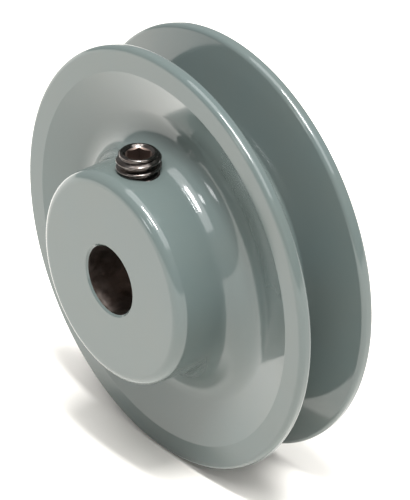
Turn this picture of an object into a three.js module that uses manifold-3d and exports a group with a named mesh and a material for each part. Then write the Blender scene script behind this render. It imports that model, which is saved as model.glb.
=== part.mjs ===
// A single-groove V-belt pulley: one cast-iron wheel with its hub, and one socket set screw in the hub.
// Millimetres. The bore runs along Y with the hub's nose towards -Y, and the set screw points to +Z.
// The origin is on the bore's axis, midway between the hub's nose and the rear face.
import * as THREE from 'three';
import { mergeVertices } from 'three/addons/utils/BufferGeometryUtils.js';
import Module from 'manifold-3d';

const INCH = 25.4;

// The wheel
const OUTSIDE_DIAMETER = 3.05 * INCH;
const FACE_WIDTH = (5 / 8) * INCH; // over both rims
const LAND_WIDTH = 2.2; // top of each rim, beside the groove
const RIM_EDGE_RADIUS = 1;
const GROOVE_EDGE_RADIUS = 0.6;
const GROOVE_DEPTH = 11.5;
const GROOVE_HALF_ANGLE = THREE.MathUtils.degToRad(18);
const GROOVE_CORNER_RADIUS = 0.8;
const BAND_WIDTH = 4.5; // flat ring on each side face, outside the dished web
const BAND_EDGE_RADIUS = 1;
const WEB_SLOPE = THREE.MathUtils.degToRad(18); // the web lies parallel to the groove's wall

// The hub. Its side is a casting's, tapered towards the nose.
const HUB_LENGTH = (1 + 1 / 16) * INCH; // nose to rear face
const HUB_NOSE_DIAMETER = 38.9;
const HUB_DRAFT = THREE.MathUtils.degToRad(2.5);
const HUB_NOSE_EDGE_RADIUS = 2;
const REAR_HUB_EDGE_RADIUS = 1.2;
const FRONT_HUB_FILLET_RADIUS = 5.5;
const REAR_HUB_FILLET_RADIUS = 2.2;
const BORE_DIAMETER = INCH / 2;
const BORE_CHAMFER = 0.35;

// The set screw, 5/16-18 UNC by 3/8 inch, and its hole
const SCREW_DIAMETER = (5 / 16) * INCH;
const SCREW_PITCH = INCH / 18;
const SCREW_LENGTH = (3 / 8) * INCH;
const SCREW_CHAMFER = 0.55;
const SCREW_PROUD = 3.3; // how far it stands out of the hub
const SCREW_FROM_FRONT_RIM = 4.4; // its axis, forward of the front rim face
const THREAD_TURN = THREE.MathUtils.degToRad(-157); // turns the thread about the screw's axis
const SOCKET_ACROSS_FLATS = (5 / 32) * INCH;
const SOCKET_DEPTH = 4.4;
const SOCKET_TURN = THREE.MathUtils.degToRad(-8.4);
const CUP_RADIUS = 1.9;
const CUP_DEPTH = 1;
const THREAD_CLEARANCE = 0.3;

// Facets
const WHEEL_FACETS = 48;
const SCREW_FACETS = 32;
const ARC_STEPS = 3;

// Derived places. Axial places are measured towards the nose from the middle of the groove, then
// turned into Y by axialToY.
const outsideRadius = OUTSIDE_DIAMETER / 2;
const boreRadius = BORE_DIAMETER / 2;
const screwRadius = SCREW_DIAMETER / 2;
const frontFace = FACE_WIDTH / 2;
const nose = HUB_LENGTH - frontFace;
const middleOfLength = (nose - frontFace) / 2;
const axialToY = (axial) => middleOfLength - axial;
const hubRadiusBehindNose = (distance) => HUB_NOSE_DIAMETER / 2 + distance * Math.tan(HUB_DRAFT);
const screwAxial = frontFace + SCREW_FROM_FRONT_RIM;
const screwTop = hubRadiusBehindNose(nose - screwAxial) + SCREW_PROUD;
const screwY = axialToY(screwAxial);

const wasm = await Module();
wasm.setup();

// A closed geometry as a solid that can be cut
function toSolid(geometry) {
  const bare = geometry.clone();
  bare.deleteAttribute('normal');
  bare.deleteAttribute('uv');
  const merged = mergeVertices(bare);
  return new wasm.Manifold(new wasm.Mesh({
    numProp: 3,
    vertProperties: new Float32Array(merged.attributes.position.array),
    triVerts: new Uint32Array(merged.index.array),
  }));
}

function toGeometry(solid) {
  const mesh = solid.getMesh();
  const geometry = new THREE.BufferGeometry();
  geometry.setAttribute('position', new THREE.BufferAttribute(mesh.vertProperties, 3));
  geometry.setIndex(new THREE.BufferAttribute(mesh.triVerts, 1));
  geometry.computeVertexNormals();
  return geometry;
}

// A cylinder or prism that stands on Z between two heights
function upright(radiusLow, radiusHigh, low, high, sides) {
  return new THREE.CylinderGeometry(radiusHigh, radiusLow, high - low, sides)
    .rotateX(Math.PI / 2)
    .translate(0, 0, (low + high) / 2);
}

// Rounds the corners of a closed outline. Each corner is [radius, axial, fillet]; a fillet of 0 stays sharp.
function roundedOutline(corners) {
  return corners.flatMap(([x, y, fillet], i) => {
    const corner = new THREE.Vector2(x, y);
    if (fillet === 0) return [corner];
    const before = new THREE.Vector2(...corners.at(i - 1));
    const after = new THREE.Vector2(...corners[(i + 1) % corners.length]);
    const towardsBefore = before.sub(corner).normalize();
    const towardsAfter = after.sub(corner).normalize();
    const halfAngle = Math.acos(towardsBefore.dot(towardsAfter)) / 2;
    const bisector = towardsBefore.clone().add(towardsAfter).normalize();
    const centre = corner.clone().addScaledVector(bisector, fillet / Math.sin(halfAngle));
    const tangent = fillet / Math.tan(halfAngle);
    const start = corner.clone().addScaledVector(towardsBefore, tangent).sub(centre);
    const end = corner.clone().addScaledVector(towardsAfter, tangent).sub(centre);
    const sweep = Math.atan2(start.cross(end), start.dot(end));
    return Array.from({ length: ARC_STEPS + 1 }, (_, step) =>
      start.clone().rotateAround(new THREE.Vector2(), (sweep * step) / ARC_STEPS).add(centre));
  });
}

// One side of the wheel's outline, from the bore outwards and down into the groove. side is +1 towards the
// nose or -1 towards the rear, end is where the hub ends on this side, edge is the rounding there, and
// fillet is the one at the hub's foot.
function sideCorners(side, end, edge, fillet) {
  const grooveRun = GROOVE_DEPTH * Math.tan(GROOVE_HALF_ANGLE);
  const grooveTop = frontFace - LAND_WIDTH;
  const bandInside = outsideRadius - BAND_WIDTH;
  const hubFoot = hubRadiusBehindNose(nose - frontFace);
  const webAtHub = frontFace - (bandInside - hubFoot) * Math.tan(WEB_SLOPE);
  const hubEnd = hubFoot - (end - frontFace) * Math.tan(HUB_DRAFT);
  return [
    [boreRadius, end - BORE_CHAMFER, 0],
    [boreRadius + BORE_CHAMFER, end, 0],
    [hubEnd, end, edge],
    [hubFoot, webAtHub, fillet],
    [bandInside, frontFace, BAND_EDGE_RADIUS],
    [outsideRadius, frontFace, RIM_EDGE_RADIUS],
    [outsideRadius, grooveTop, GROOVE_EDGE_RADIUS],
    [outsideRadius - GROOVE_DEPTH, grooveTop - grooveRun, GROOVE_CORNER_RADIUS],
  ].map(([radius, axial, rounding]) => [radius, side * axial, rounding]);
}

function pulleyWheel() {
  const corners = [
    ...sideCorners(-1, frontFace, REAR_HUB_EDGE_RADIUS, REAR_HUB_FILLET_RADIUS).reverse(),
    ...sideCorners(1, nose, HUB_NOSE_EDGE_RADIUS, FRONT_HUB_FILLET_RADIUS),
  ];
  const outline = roundedOutline(corners).map(({ x, y }) => new THREE.Vector2(x, axialToY(y)));
  const halfFacet = Math.PI / WHEEL_FACETS;
  const wheel = toSolid(new THREE.LatheGeometry([...outline, outline[0]], WHEEL_FACETS, halfFacet));
  const hole = upright(screwRadius + THREAD_CLEARANCE, screwRadius + THREAD_CLEARANCE,
    0, screwTop, SCREW_FACETS).translate(0, screwY, 0);
  return toGeometry(wheel.subtract(toSolid(hole)));
}

// A rod along Z with a helical thread on it. The grid climbs one pitch a turn, so that crests and roots are
// grid lines. Its ends are rough and are cut off by whatever it is intersected with.
function threadedRod(low, high) {
  const rootRadius = screwRadius - 0.6134 * SCREW_PITCH;
  const profile = [[0, screwRadius], [1 / 8, screwRadius], [7 / 16, rootRadius], [11 / 16, rootRadius]];
  const perTurn = profile.length;
  const rows = perTurn * Math.ceil((high - low) / SCREW_PITCH + 3);
  const positions = [];
  for (let facet = 0; facet < SCREW_FACETS; facet++) {
    const angle = (2 * Math.PI * facet) / SCREW_FACETS;
    for (let row = 0; row <= rows; row++) {
      const [fraction, radius] = profile[row % perTurn];
      const turns = Math.floor(row / perTurn) + fraction + facet / SCREW_FACETS;
      positions.push(radius * Math.cos(angle), radius * Math.sin(angle), low + (turns - 1) * SCREW_PITCH);
    }
  }
  const bottomCentre = positions.length / 3;
  positions.push(0, 0, low - SCREW_PITCH);
  const topCentre = bottomCentre + 1;
  positions.push(0, 0, low + (rows / perTurn) * SCREW_PITCH);

  // Past the last facet, the grid joins its own start one turn higher
  const vertex = (facet, row) => (facet === SCREW_FACETS
    ? vertex(0, row + perTurn)
    : facet * (rows + 1) + row);
  const triangles = [];
  for (let facet = 0; facet < SCREW_FACETS; facet++) {
    const top = facet === SCREW_FACETS - 1 ? rows - perTurn : rows;
    for (let row = 0; row < top; row++) {
      const [a, b] = [vertex(facet, row), vertex(facet + 1, row)];
      const [c, d] = [vertex(facet + 1, row + 1), vertex(facet, row + 1)];
      triangles.push(a, b, c, a, c, d);
    }
  }
  const facets = [...Array(SCREW_FACETS).keys()];
  const steps = [...Array(perTurn).keys()];
  const bottomRim = [...facets.map((facet) => vertex(facet, 0)), ...steps.map((i) => vertex(0, perTurn - i))];
  const topRim = [
    ...facets.map((facet) => vertex(facet, rows)),
    ...steps.map((i) => vertex(SCREW_FACETS - 1, rows - 1 - i)),
  ];
  bottomRim.forEach((v, i) => triangles.push(bottomCentre, bottomRim[(i + 1) % bottomRim.length], v));
  topRim.forEach((v, i) => triangles.push(topCentre, v, topRim[(i + 1) % topRim.length]));

  const geometry = new THREE.BufferGeometry();
  geometry.setAttribute('position', new THREE.Float32BufferAttribute(positions, 3));
  geometry.setIndex(triangles);
  return geometry;
}

// The screw stands with its top at z = 0 here
function setScrew() {
  const blankRadius = screwRadius + 0.1;
  const blank = new THREE.LatheGeometry([
    new THREE.Vector2(0, -SCREW_LENGTH),
    new THREE.Vector2(blankRadius - SCREW_CHAMFER, -SCREW_LENGTH),
    new THREE.Vector2(blankRadius, -SCREW_LENGTH + SCREW_CHAMFER),
    new THREE.Vector2(blankRadius, -SCREW_CHAMFER),
    new THREE.Vector2(blankRadius - SCREW_CHAMFER, 0),
    new THREE.Vector2(0, 0),
  ], SCREW_FACETS).rotateX(Math.PI / 2);
  const socketRadius = SOCKET_ACROSS_FLATS / Math.sqrt(3);
  const socket = upright(socketRadius, socketRadius, -SOCKET_DEPTH, 1, 6).rotateZ(SOCKET_TURN);
  const cup = upright(CUP_RADIUS, 0, -SCREW_LENGTH, -SCREW_LENGTH + CUP_DEPTH, SCREW_FACETS);
  const rod = threadedRod(-SCREW_LENGTH, 0).rotateZ(THREAD_TURN);
  const body = toSolid(rod).intersect(toSolid(blank));
  return toGeometry(body.subtract(toSolid(socket)).subtract(toSolid(cup)));
}

const greyPaint = new THREE.MeshStandardMaterial({ color: 0x98a19d, roughness: 0.25, metalness: 0 });
const blackSteel = new THREE.MeshStandardMaterial({ color: 0x2b2724, roughness: 0.3, metalness: 0.9 });

const pulley = new THREE.Group();

const wheel = new THREE.Mesh(pulleyWheel(), greyPaint);
wheel.name = 'pulley_wheel';
pulley.add(wheel);

const screw = new THREE.Mesh(setScrew(), blackSteel);
screw.name = 'set_screw';
screw.position.set(0, screwY, screwTop);
pulley.add(screw);

export default pulley;
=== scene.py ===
"""A small cast V-belt pulley with a set screw in its hub, standing on a white studio table."""
import math

import bmesh
import bpy
import numpy as np
from mathutils import Matrix, Vector


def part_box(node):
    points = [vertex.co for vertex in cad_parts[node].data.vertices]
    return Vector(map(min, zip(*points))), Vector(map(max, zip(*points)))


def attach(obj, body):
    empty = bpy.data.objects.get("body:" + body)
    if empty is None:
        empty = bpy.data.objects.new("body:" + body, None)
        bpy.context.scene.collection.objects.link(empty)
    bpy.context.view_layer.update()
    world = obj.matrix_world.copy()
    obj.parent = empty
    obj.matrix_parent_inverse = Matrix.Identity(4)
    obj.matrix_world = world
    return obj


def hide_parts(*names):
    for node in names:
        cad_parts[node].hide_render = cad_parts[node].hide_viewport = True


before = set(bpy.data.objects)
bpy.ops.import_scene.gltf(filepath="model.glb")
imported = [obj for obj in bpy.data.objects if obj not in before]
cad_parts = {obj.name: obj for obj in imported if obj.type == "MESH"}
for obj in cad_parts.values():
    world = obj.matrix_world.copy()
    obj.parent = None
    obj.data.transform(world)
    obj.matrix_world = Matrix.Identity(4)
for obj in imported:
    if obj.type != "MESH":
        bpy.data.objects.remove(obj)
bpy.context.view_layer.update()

MM = 0.001
INCH = 25.4 * MM

# The casting. Its bore runs along Y, with the hub's nose towards -Y.
OUTSIDE_RADIUS = 3.05 * INCH / 2
FACE_WIDTH = 5 / 8 * INCH  # over both rims
LAND_WIDTH = 2.2 * MM  # top of each rim, beside the groove
RIM_EDGE_RADIUS = 1.0 * MM
GROOVE_EDGE_RADIUS = 1.0 * MM
GROOVE_DEPTH = 11.5 * MM
GROOVE_HALF_ANGLE = math.radians(18)
GROOVE_CORNER_RADIUS = 0.8 * MM
BAND_WIDTH = 4.5 * MM  # flat ring outside the dished web
BAND_EDGE_RADIUS = 0.6 * MM
WEB_SLOPE = math.radians(18)
HUB_LENGTH = (1 + 1 / 16) * INCH
HUB_NOSE_RADIUS = 19.45 * MM
HUB_DRAFT = math.radians(2.5)
HUB_NOSE_EDGE_RADIUS = 2.0 * MM
REAR_HUB_EDGE_RADIUS = 1.2 * MM
FRONT_HUB_FILLET_RADIUS = 5.5 * MM
REAR_HUB_FILLET_RADIUS = 2.2 * MM
BORE_RADIUS = INCH / 4
BORE_CHAMFER = 0.35 * MM

# The set screw, 5/16-18 UNC
SCREW_RADIUS = 5 / 32 * INCH
SCREW_PITCH = INCH / 18
THREAD_DEPTH = 0.6134 * SCREW_PITCH
THREAD_TURN = math.radians(165)  # turns the thread about the screw's axis
CREST_HALF_WIDTH = 0.06  # in pitches
FLANK_WIDTH = 0.4
TOP_RING_RADIUS = 3.38 * MM  # outside of the rolled ring round the socket
TOP_CHAMFER_SLOPE = 0.6
MOUTH_RADIUS = 2.75 * MM
RING_OUTER_DROP = 0.3 * MM  # how far the ring rolls down on its two sides
RING_INNER_DROP = 0.08 * MM
RING_OVERHANG = 0.6  # the ring's roll starts this far past level outside, in radians
RING_NECK = 0.12 * MM  # the wall starts this far below the ring
COUNTERSINK_SLOPE = 0.7
SOCKET_ACROSS_FLATS = 5 / 32 * INCH
SOCKET_TURN = math.radians(21)
SOCKET_DEPTH = 4.4 * MM
SOCKET_DRILL_RADIUS = 1.7 * MM
SOCKET_DRILL_DEPTH = 0.1 * MM  # below the hexagon, with the drill's cone below that
SOCKET_CONE_DEPTH = 0.6 * MM
POINT_RADIUS = 3.0 * MM
CUP_RADIUS = 1.9 * MM
CUP_DEPTH = 1.0 * MM
HOLE_RADIUS = 3.43 * MM  # as drilled, before tapping
THREAD_CLEARANCE = 0.08 * MM

# How fine the meshes are
WHEEL_SEGMENTS = 256
SCREW_SEGMENTS = 120
ARC_STEP = math.radians(9)
ROLLED_RING_STEPS = 14
THREAD_STEP = 0.06 * MM
NO_LENGTH = 1e-9
ON_OUTLINE = 0.02 * MM  # a face this near to the wheel's outline is on it
SHARP_ANGLE = math.radians(50)

# Colours are linear. Noise scales are in cells a metre.
PAINT = (0.086, 0.105, 0.1)
PAINT_COOL = (0.081, 0.104, 0.102)
PAINT_SPECK = (0.11, 0.13, 0.125)
PAINT_PATCH_SCALE = 70
PAINT_SPECK_SCALE = 2600
PAINT_SPECK_SHARE = 0.12
PAINT_SHEEN_SCALE = 120
PAINT_ROUGHNESS = (0.06, 0.14)
WAVE_SCALE = 85
WAVE_DEPTH = 0.05 * MM
TOOL_STEP = 0.8 * MM
TOOL_FADE_SCALE = 200
TOOL_DEPTH = 0.0003 * MM
PEEL_SCALE = 700
PEEL_DEPTH = 0.0015 * MM

IRON = (0.2, 0.17, 0.155)
IRON_BROWN = (0.13, 0.1, 0.085)
IRON_PATCH_SCALE = 500
IRON_SHEEN_SCALE = 900
IRON_ROUGHNESS = (0.28, 0.5)
FEED_STEP = 0.15 * MM
FEED_DEPTH = 0.002 * MM
IRON_GRAIN_SCALE = 1500
IRON_GRAIN_DEPTH = 0.01 * MM

STEEL = (0.13, 0.12, 0.114)
STEEL_BROWN = (0.08, 0.066, 0.06)
STEEL_PATCH_SCALE = 900
STEEL_SHEEN_SCALE = 1500
STEEL_ROUGHNESS = (0.15, 0.21)
STEEL_GRAIN_SCALE = 1800
STEEL_GRAIN_DEPTH = 0.0005 * MM
SOCKET_BROWN = (0.14, 0.105, 0.09)
SOCKET_ROUGHNESS = 0.5
SOCKET_EDGE = 2.25 * MM
SOCKET_EDGE_BLUR = 0.1 * MM

WHITE = (0.9, 0.875, 0.83)
TABLE_SIZE = 20
TABLE_ROUGHNESS = 0.6
LIGHT_DISTANCE = 3
# azimuth and elevation, width and depth in degrees, and radiance
SOFTBOXES = {
    "key_strip": (57, 76, 26, 8, 75),
    "overhead": (100, 80, 72, 54, 3.6),
    "front_spot": (20, 56, 8, 8, 14),
    "front_low_spot": (352, 20, 9, 9, 8),
}
SKY = (1, 1, 1)
SKY_STRENGTH = 0.45
SENSOR_WIDTH = 36
LENS = 299.9
CAMERA_PLACE = (0.49401, -0.38144, 0.36381)  # from the middle of the front rim's face
CAMERA_AIM = (-0.6781, 0.5373, -0.5014)


# ---------------------------------------------------------------- outlines and meshes

def rounded_outline(corners):
    """Rounds the corners of a closed outline. A corner is (radius, axial, fillet), and a fillet of 0 is sharp.
    Gives the outline's edges, each with its two ends and the outward normal at each end."""
    points = []  # each point with the normals that its two edges have there
    count = len(corners)
    for i, (x, y, fillet) in enumerate(corners):
        corner = Vector((x, y))
        before = (Vector(corners[i - 1][:2]) - corner).normalized()
        after = (Vector(corners[(i + 1) % count][:2]) - corner).normalized()
        normal_before = Vector((-before.y, before.x))
        normal_after = Vector((after.y, -after.x))
        if fillet == 0:
            points.append((corner, normal_before, normal_after))
            continue
        half = before.angle(after) / 2
        centre = corner + (before + after).normalized() * fillet / math.sin(half)
        bulges = normal_before.dot((corner + before * fillet / math.tan(half)) - centre) > 0
        sweep = normal_before.angle_signed(normal_after)
        steps = max(2, math.ceil(abs(sweep) / ARC_STEP))
        for step in range(steps + 1):
            normal = normal_before.copy()
            normal.rotate(Matrix.Rotation(-sweep * step / steps, 2))
            points.append((centre + normal * fillet * (1 if bulges else -1), normal, normal))
    return [(p, n, q, m) for (p, _, n), (q, m, _) in zip(points, points[1:] + points[:1])]


def axial_to_y(axial):
    """Axial places are measured towards the nose from the middle of the groove."""
    return (HUB_LENGTH - FACE_WIDTH) / 2 - axial


def wheel_corners():
    front = FACE_WIDTH / 2
    nose = HUB_LENGTH - front
    band_inside = OUTSIDE_RADIUS - BAND_WIDTH
    hub_foot = HUB_NOSE_RADIUS + (nose - front) * math.tan(HUB_DRAFT)
    web_at_hub = front - (band_inside - hub_foot) * math.tan(WEB_SLOPE)
    groove_top = front - LAND_WIDTH
    groove_run = GROOVE_DEPTH * math.tan(GROOVE_HALF_ANGLE)

    def side(sign, end, edge, fillet):
        hub_end = hub_foot - (end - front) * math.tan(HUB_DRAFT)
        corners = [
            (BORE_RADIUS, end - BORE_CHAMFER, 0),
            (BORE_RADIUS + BORE_CHAMFER, end, 0),
            (hub_end, end, edge),
            (hub_foot, web_at_hub, fillet),
            (band_inside, front, BAND_EDGE_RADIUS),
            (OUTSIDE_RADIUS, front, RIM_EDGE_RADIUS),
            (OUTSIDE_RADIUS, groove_top, GROOVE_EDGE_RADIUS),
            (OUTSIDE_RADIUS - GROOVE_DEPTH, groove_top - groove_run, GROOVE_CORNER_RADIUS),
        ]
        return [(radius, sign * axial, rounding) for radius, axial, rounding in corners]

    rear = side(-1, front, REAR_HUB_EDGE_RADIUS, REAR_HUB_FILLET_RADIUS)
    corners = side(1, nose, HUB_NOSE_EDGE_RADIUS, FRONT_HUB_FILLET_RADIUS) + rear[::-1]
    return [(radius, axial_to_y(axial), rounding) for radius, axial, rounding in corners]


def lathe(outline, segments):
    """A closed solid of revolution about Y."""
    bm = bmesh.new()
    rings = []
    for p, *_ in outline:
        angles = [2 * math.pi * i / segments for i in range(segments)]
        rings.append([bm.verts.new((p.x * math.sin(a), p.y, p.x * math.cos(a))) for a in angles])
    for ring, following in zip(rings, rings[1:] + rings[:1]):
        for i in range(segments):
            j = (i + 1) % segments
            bm.faces.new((ring[i], ring[j], following[j], following[i]))
    bmesh.ops.recalc_face_normals(bm, faces=bm.faces)
    return bm


def to_object(bm, name):
    mesh = bpy.data.meshes.new(name)
    bm.to_mesh(mesh)
    bm.free()
    piece = bpy.data.objects.new(name, mesh)
    bpy.context.collection.objects.link(piece)
    return piece


# ---------------------------------------------------------------- the set screw and its tapped hole

def thread_height(angle, z):
    """How far a rounded right-hand thread stands out, from 0 at its root to 1 at its crest."""
    turns = z / SCREW_PITCH - (angle - THREAD_TURN) / (2 * math.pi)
    from_crest = abs(turns - round(turns))  # 0 on a crest, 0.5 at a root
    slope = min(max((from_crest - CREST_HALF_WIDTH) / FLANK_WIDTH, 0), 1)
    return 1 - slope * slope * (3 - 2 * slope)


def threaded_wall(radius_at, heights, segments):
    """Rings of points up a vertical wall whose radius varies both with height and around it."""
    angles = [2 * math.pi * i / segments for i in range(segments)]
    return [[(angle, radius_at(angle, z), z) for angle in angles] for z in heights]


def skin(rings):
    """A mesh through rings of (angle, radius, z), closed by a fan at each end. The first ring is the lowest."""
    bm = bmesh.new()
    made = [[bm.verts.new((r * math.cos(a), r * math.sin(a), z)) for a, r, z in ring] for ring in rings]
    count = len(made[0])
    for ring, following in zip(made, made[1:]):
        for i in range(count):
            j = (i + 1) % count
            bm.faces.new((ring[i], ring[j], following[j], following[i]))
    for ring in (made[0], made[-1]):
        middle = bm.verts.new((0, 0, sum(v.co.z for v in ring) / count))
        for i in range(count):
            bm.faces.new((ring[i], ring[(i + 1) % count], middle))
    bmesh.ops.recalc_face_normals(bm, faces=bm.faces)
    return bm


def steps_between(low, high, step):
    count = max(1, round((high - low) / step))
    return [low + (high - low) * i / count for i in range(count + 1)]


def thread_radius(angle, z):
    return SCREW_RADIUS - THREAD_DEPTH * (1 - thread_height(angle, z))


def set_screw(bottom, top, y):
    """Cup point below, then the thread, the rolled ring at the head end and the hexagon socket."""
    def radius_at(angle, z):
        head_end = TOP_RING_RADIUS + (top - z) * TOP_CHAMFER_SLOPE
        point_end = POINT_RADIUS + (z - bottom)
        return min(thread_radius(angle, z), head_end, point_end)

    def ring(radius, z):
        return [(2 * math.pi * i / SCREW_SEGMENTS, radius, z) for i in range(SCREW_SEGMENTS)]

    def hexagon(angle):
        flat = math.radians(60)
        return SOCKET_ACROSS_FLATS / 2 / math.cos((angle - SOCKET_TURN) % flat - flat / 2)

    def socket_ring(depth_at):
        return [(a, hexagon(a), top - depth_at(hexagon(a))) for a, *_ in ring(0, 0)]

    half_width = (TOP_RING_RADIUS - MOUTH_RADIUS) / 2
    rolled_ring = []
    for a in np.linspace(-RING_OVERHANG, math.pi, ROLLED_RING_STEPS + 1):
        drop = RING_OUTER_DROP if a < math.pi / 2 else RING_INNER_DROP
        radius = MOUTH_RADIUS + half_width * (1 + math.cos(a))
        rolled_ring.append(ring(radius, top - drop * (1 - math.sin(a))))
    wall_top = top - RING_OUTER_DROP * (1 + math.sin(RING_OVERHANG)) - RING_NECK
    socket = [
        socket_ring(lambda radius: RING_INNER_DROP + (MOUTH_RADIUS - radius) * COUNTERSINK_SLOPE),
        socket_ring(lambda radius: SOCKET_DEPTH),
        ring(SOCKET_DRILL_RADIUS, top - SOCKET_DEPTH - SOCKET_DRILL_DEPTH),
        ring(SOCKET_DRILL_RADIUS / 2, top - SOCKET_DEPTH - SOCKET_CONE_DEPTH),
    ]
    cup = [ring(CUP_RADIUS / 2, bottom + CUP_DEPTH / 2), ring(CUP_RADIUS, bottom)]
    heights = steps_between(bottom, wall_top, THREAD_STEP)
    wall = threaded_wall(radius_at, heights, SCREW_SEGMENTS)
    piece = to_object(skin(cup + wall + rolled_ring + socket), "socket_set_screw")
    piece.data.transform(Matrix.Translation((0, y, 0)))
    return piece


def tapped_hole_cutter(low, high, y):
    def radius_at(angle, z):
        return max(HOLE_RADIUS, thread_radius(angle, z) + THREAD_CLEARANCE)

    wall = threaded_wall(radius_at, steps_between(low, high, 2 * THREAD_STEP), SCREW_SEGMENTS)
    cutter = to_object(skin(wall), "hole_cutter")
    cutter.data.transform(Matrix.Translation((0, y, 0)))
    return cutter


# ---------------------------------------------------------------- the casting

def cut(piece, cutter):
    """Takes the cutter out of the piece and removes the cutter."""
    modifier = piece.modifiers.new("cut", "BOOLEAN")
    modifier.operation = "DIFFERENCE"
    modifier.solver = "EXACT"
    modifier.object = cutter
    evaluated = piece.evaluated_get(bpy.context.evaluated_depsgraph_get())
    mesh = bpy.data.meshes.new_from_object(evaluated)
    piece.modifiers.clear()
    piece.data = mesh
    bpy.data.objects.remove(cutter)


def nearest_on_outline(outline, radius, y):
    """The outline's edge nearest to a point, and how far off it is."""
    starts, _, ends, _ = outline
    along = ends - starts
    share = ((np.array((radius, y)) - starts) * along).sum(1) / (along * along).sum(1)
    share = share.clip(0, 1)
    gaps = np.hypot(*(starts + along * share[:, None] - (radius, y)).T)
    edge = int(gaps.argmin())
    return edge, gaps[edge]


def finish_casting(piece, edges):
    """Smooth normals from the outline itself, so that the gloss runs true, and bare iron inside the holes."""
    edges = [edge for edge in edges if (edge[2] - edge[0]).length > NO_LENGTH]
    outline = [np.array([tuple(vector) for vector in column]) for column in zip(*edges)]
    starts, start_normals, ends, end_normals = outline
    mesh = piece.data
    mesh.shade_smooth()
    points = np.array([v.co for v in mesh.vertices])
    radii = np.hypot(points[:, 0], points[:, 2])
    loop_normals = np.array([corner.vector for corner in mesh.corner_normals])
    for face in mesh.polygons:
        radius, y = math.hypot(face.center.x, face.center.z), face.center.y
        edge, gap = nearest_on_outline(outline, radius, y)
        if gap > ON_OUTLINE:
            face.material_index = 1
            continue
        face.material_index = 1 if radius < BORE_RADIUS + ON_OUTLINE else 0
        start, along = starts[edge], ends[edge] - starts[edge]
        for loop, vertex in zip(face.loop_indices, face.vertices):
            place = np.array((radii[vertex], points[vertex, 1])) - start
            share = np.clip((place @ along) / (along @ along), 0, 1)
            radial, axial = start_normals[edge] * (1 - share) + end_normals[edge] * share
            x, _, z = points[vertex] / radii[vertex]
            loop_normals[loop] = (radial * x, axial, radial * z)
    mesh.normals_split_custom_set(loop_normals)


# ---------------------------------------------------------------- materials

def new_material(name, colour, roughness, metallic):
    material = bpy.data.materials.new(name)
    material.use_nodes = True
    shader = material.node_tree.nodes["Principled BSDF"]
    shader.inputs["Base Color"].default_value = (*colour, 1)
    shader.inputs["Roughness"].default_value = roughness
    shader.inputs["Metallic"].default_value = metallic
    return material


class Nodes:
    """Short names for making and joining a material's nodes."""

    def __init__(self, material):
        self.tree = material.node_tree
        self.shader = self.tree.nodes["Principled BSDF"]
        self.place = self.tree.nodes.new("ShaderNodeTexCoord").outputs["Object"]

    def put(self, socket, value):
        if isinstance(value, bpy.types.NodeSocket):
            self.tree.links.new(value, socket)
        else:
            socket.default_value = value

    def noise(self, scale, detail=3):
        node = self.tree.nodes.new("ShaderNodeTexNoise")
        self.put(node.inputs["Vector"], self.place)
        node.inputs["Scale"].default_value = scale
        node.inputs["Detail"].default_value = detail
        return node.outputs["Fac"]

    def maths(self, operation, *values):
        node = self.tree.nodes.new("ShaderNodeMath")
        node.operation = operation
        for socket, value in zip(node.inputs, values):
            self.put(socket, value)
        return node.outputs["Value"]

    def spread(self, fac, low, high, start=0.3, end=0.7):
        """Maps start..end of a value to low..high."""
        node = self.tree.nodes.new("ShaderNodeMapRange")
        for name, value in (("Value", fac), ("From Min", start), ("From Max", end),
                            ("To Min", low), ("To Max", high)):
            self.put(node.inputs[name], value)
        return node.outputs["Result"]

    def mix(self, fac, first, second):
        node = self.tree.nodes.new("ShaderNodeMix")
        node.data_type = "RGBA"
        self.put(node.inputs["Factor"], fac)
        for name, value in (("A", first), ("B", second)):
            socket = next(s for s in node.inputs if s.name == name and s.type == "RGBA")
            self.put(socket, value if isinstance(value, bpy.types.NodeSocket) else (*value, 1))
        return next(s for s in node.outputs if s.type == "RGBA")

    def parts(self, vector):
        node = self.tree.nodes.new("ShaderNodeSeparateXYZ")
        self.put(node.inputs["Vector"], vector)
        return [node.outputs[axis] for axis in "XYZ"]

    def from_axis(self, first, second):
        """Distance from an axis, from the distances along the two lines square to it."""
        squares = [self.maths("MULTIPLY", value, value) for value in (first, second)]
        return self.maths("SQRT", self.maths("ADD", *squares))

    def bump(self, height, depth, below=None):
        """A bump whose height of 0 to 1 is that deep, on top of another."""
        node = self.tree.nodes.new("ShaderNodeBump")
        node.inputs["Distance"].default_value = depth
        self.put(node.inputs["Height"], height)
        if below is not None:
            self.put(node.inputs["Normal"], below)
        return node.outputs["Normal"]


def grey_paint():
    """Glossy enamel on a turned casting: soft waves, orange peel, and the faint rings of the turning tool."""
    material = new_material("glossy_enamel", PAINT, 0.1, 0)
    nodes = Nodes(material)
    patches = nodes.spread(nodes.noise(PAINT_PATCH_SCALE), 0, 1)
    specks = nodes.spread(nodes.noise(PAINT_SPECK_SCALE, detail=2), 0, 1, 0.62, 0.75)
    colour = nodes.mix(patches, PAINT, PAINT_COOL)
    colour = nodes.mix(nodes.maths("MULTIPLY", specks, PAINT_SPECK_SHARE), colour, PAINT_SPECK)
    nodes.put(nodes.shader.inputs["Base Color"], colour)
    roughness = nodes.spread(nodes.noise(PAINT_SHEEN_SCALE), *PAINT_ROUGHNESS)
    nodes.put(nodes.shader.inputs["Roughness"], roughness)
    waves = nodes.bump(nodes.noise(WAVE_SCALE, detail=1), WAVE_DEPTH)
    x, _, z = nodes.parts(nodes.place)
    rings = nodes.maths("SINE", nodes.maths("MULTIPLY", nodes.from_axis(x, z), 2 * math.pi / TOOL_STEP))
    rings = nodes.maths("MULTIPLY", rings, nodes.spread(nodes.noise(TOOL_FADE_SCALE), 0, 1))
    turned = nodes.bump(rings, TOOL_DEPTH, waves)
    peel = nodes.bump(nodes.noise(PEEL_SCALE, detail=1), PEEL_DEPTH, turned)
    nodes.put(nodes.shader.inputs["Normal"], peel)
    return material


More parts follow.
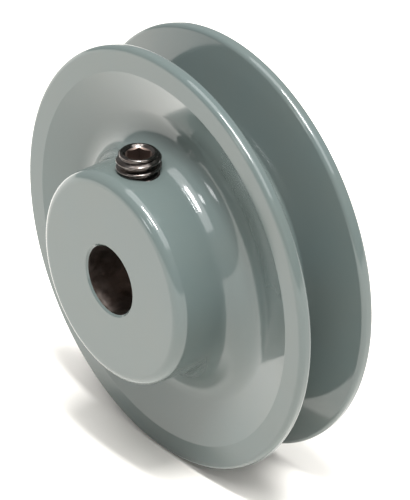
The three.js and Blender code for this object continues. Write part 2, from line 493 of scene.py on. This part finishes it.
def bare_iron():
    """Bored and tapped cast iron with a film of oil."""
    material = new_material("bare_iron", IRON, 0.35, 1)
    nodes = Nodes(material)
    _, y, _ = nodes.parts(nodes.place)
    colour = nodes.mix(nodes.spread(nodes.noise(IRON_PATCH_SCALE), 0, 1), IRON, IRON_BROWN)
    nodes.put(nodes.shader.inputs["Base Color"], colour)
    roughness = nodes.spread(nodes.noise(IRON_SHEEN_SCALE), *IRON_ROUGHNESS)
    nodes.put(nodes.shader.inputs["Roughness"], roughness)
    feed = nodes.maths("SINE", nodes.maths("MULTIPLY", y, 2 * math.pi / FEED_STEP))
    marks = nodes.bump(feed, FEED_DEPTH)
    grain = nodes.bump(nodes.noise(IRON_GRAIN_SCALE), IRON_GRAIN_DEPTH, marks)
    nodes.put(nodes.shader.inputs["Normal"], grain)
    return material


def black_steel(screw_y):
    """Rolled and blackened steel, oiled, and browner and duller in the socket."""
    material = new_material("blackened_steel", STEEL, 0.25, 1)
    nodes = Nodes(material)
    x, y, _ = nodes.parts(nodes.place)
    from_screw = nodes.from_axis(x, nodes.maths("SUBTRACT", y, screw_y))
    inside = nodes.spread(from_screw, 1, 0, SOCKET_EDGE, SOCKET_EDGE + SOCKET_EDGE_BLUR)
    colour = nodes.mix(nodes.spread(nodes.noise(STEEL_PATCH_SCALE), 0, 1), STEEL, STEEL_BROWN)
    nodes.put(nodes.shader.inputs["Base Color"], nodes.mix(inside, colour, SOCKET_BROWN))
    roughness = nodes.spread(nodes.noise(STEEL_SHEEN_SCALE), *STEEL_ROUGHNESS)
    roughness = nodes.spread(inside, roughness, SOCKET_ROUGHNESS, 0, 1)
    nodes.put(nodes.shader.inputs["Roughness"], roughness)
    grain = nodes.bump(nodes.noise(STEEL_GRAIN_SCALE), STEEL_GRAIN_DEPTH)
    nodes.put(nodes.shader.inputs["Normal"], grain)
    return material


# ---------------------------------------------------------------- the studio

def direction(azimuth, elevation):
    """Azimuth 0 is towards -Y, and 90 towards +X."""
    a, e = math.radians(azimuth), math.radians(elevation)
    return Vector((math.sin(a) * math.cos(e), -math.cos(a) * math.cos(e), math.sin(e)))


def softbox(name, azimuth, elevation, width, depth, radiance):
    """A panel facing the pulley. It looks width degrees wide along X, and depth degrees across that."""
    towards = direction(azimuth, elevation)
    along = (Vector((1, 0, 0)) - towards * towards.x).normalized()
    light = bpy.data.lights.new(name, "AREA")
    light.shape = "RECTANGLE"
    light.size = 2 * LIGHT_DISTANCE * math.tan(math.radians(width / 2))
    light.size_y = 2 * LIGHT_DISTANCE * math.tan(math.radians(depth / 2))
    light.energy = math.pi * light.size * light.size_y * radiance
    lamp = bpy.data.objects.new(name, light)
    lamp.location = towards * LIGHT_DISTANCE
    lamp.rotation_euler = Matrix((along, towards.cross(along), towards)).transposed().to_euler()
    bpy.context.collection.objects.link(lamp)


def white_table(height):
    bm = bmesh.new()
    bmesh.ops.create_grid(bm, x_segments=1, y_segments=1, size=TABLE_SIZE / 2)
    table = to_object(bm, "white_table")
    table.location.z = height
    table.data.materials.append(new_material("white_table", WHITE, TABLE_ROUGHNESS, 0))


def sky():
    world = bpy.data.worlds.new("studio")
    world.use_nodes = True
    world.node_tree.nodes["Background"].inputs["Color"].default_value = (*SKY, 1)
    world.node_tree.nodes["Background"].inputs["Strength"].default_value = SKY_STRENGTH
    bpy.context.scene.world = world


def camera():
    data = bpy.data.cameras.new("camera")
    data.sensor_width = SENSOR_WIDTH
    data.lens = LENS
    data.clip_start = 0.01
    data.clip_end = 20
    eye = bpy.data.objects.new("camera", data)
    front_face = Vector((0, axial_to_y(FACE_WIDTH / 2), 0))
    eye.location = front_face + Vector(CAMERA_PLACE)
    eye.rotation_euler = Vector(CAMERA_AIM).to_track_quat("-Z", "Y").to_euler()
    bpy.context.collection.objects.link(eye)
    bpy.context.scene.camera = eye


screw_low, screw_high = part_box("set_screw")
screw_y = (screw_low.y + screw_high.y) / 2

outline = rounded_outline(wheel_corners())
wheel = to_object(lathe(outline, WHEEL_SEGMENTS), "painted_casting")
wheel.data.materials.append(grey_paint())
wheel.data.materials.append(bare_iron())
cut(wheel, tapped_hole_cutter(BORE_RADIUS / 2, screw_high.z, screw_y))
finish_casting(wheel, outline)
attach(wheel, "pulley")
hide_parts("pulley_wheel")

screw = set_screw(screw_low.z, screw_high.z, screw_y)
screw.data.shade_smooth()
screw.data.set_sharp_from_angle(angle=SHARP_ANGLE)
screw.data.materials.append(black_steel(screw_y))
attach(screw, "screw")
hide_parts("set_screw")

white_table(-OUTSIDE_RADIUS)
sky()
for name, placing in SOFTBOXES.items():
    softbox(name, *placing)
camera()
bpy.context.scene.view_settings.view_transform = "Standard"
